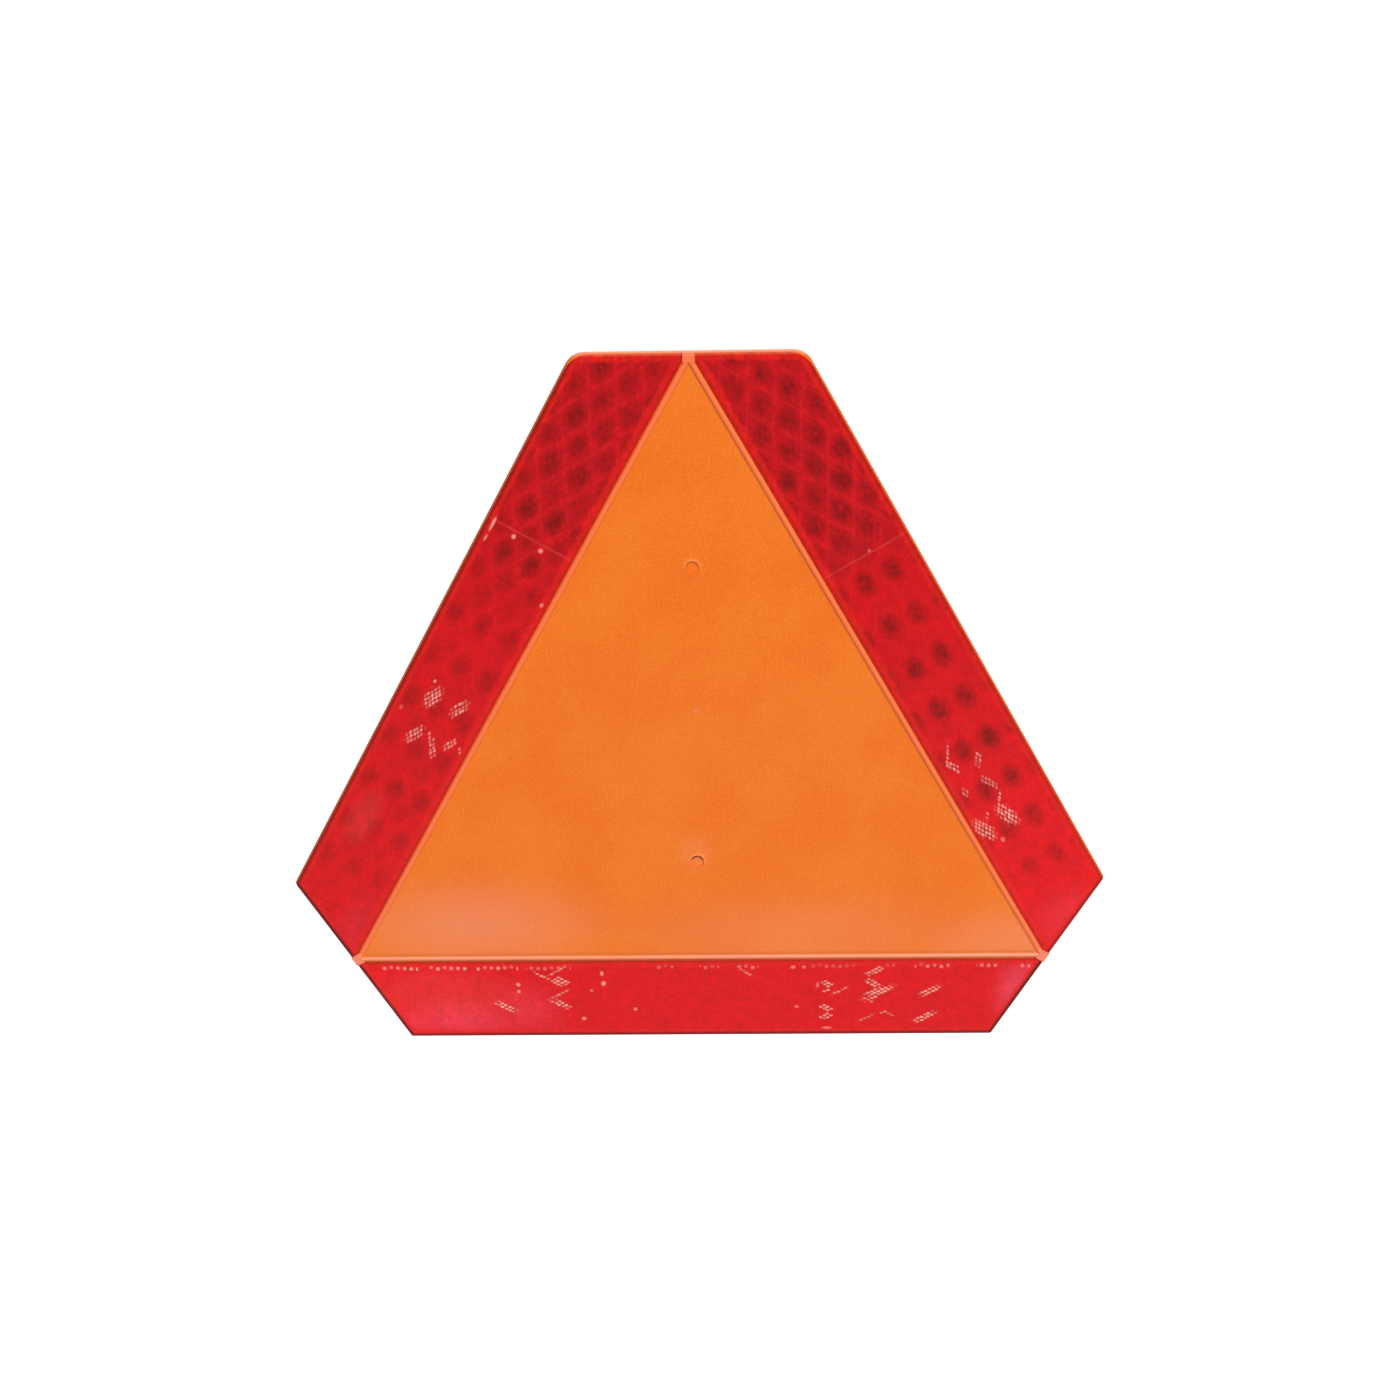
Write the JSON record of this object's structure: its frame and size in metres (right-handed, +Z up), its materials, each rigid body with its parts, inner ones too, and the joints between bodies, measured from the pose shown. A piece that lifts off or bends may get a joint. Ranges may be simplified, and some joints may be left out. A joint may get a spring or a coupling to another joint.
{
  "type": "slow moving vehicle sign",
  "caption": "Flat six-sided moulded sign with a rounded front edge: an orange triangle inside a raised bead, bordered by red reflective tape, with closed bolt marks.",
  "frame": {"origin": "on the flat back, midway between the two bolt marks", "axes": "+Z up towards the short top edge, +X to the right as seen from the front, the front faces -Y, and the back rests against its support towards +Y"},
  "size_m": [0.4004, 0.0043, 0.3476],
  "materials": {
    "fluorescent_plastic": "injection moulded, semi-gloss, fluorescent orange",
    "reflective_tape": "smooth red prismatic film, sealed in rhombic cells"
  },
  "bodies": {
    "root": {"panel": "fluorescent_plastic", "left_tape": "reflective_tape", "right_tape": "reflective_tape", "bottom_tape": "reflective_tape"}
  },
  "joints": []
}
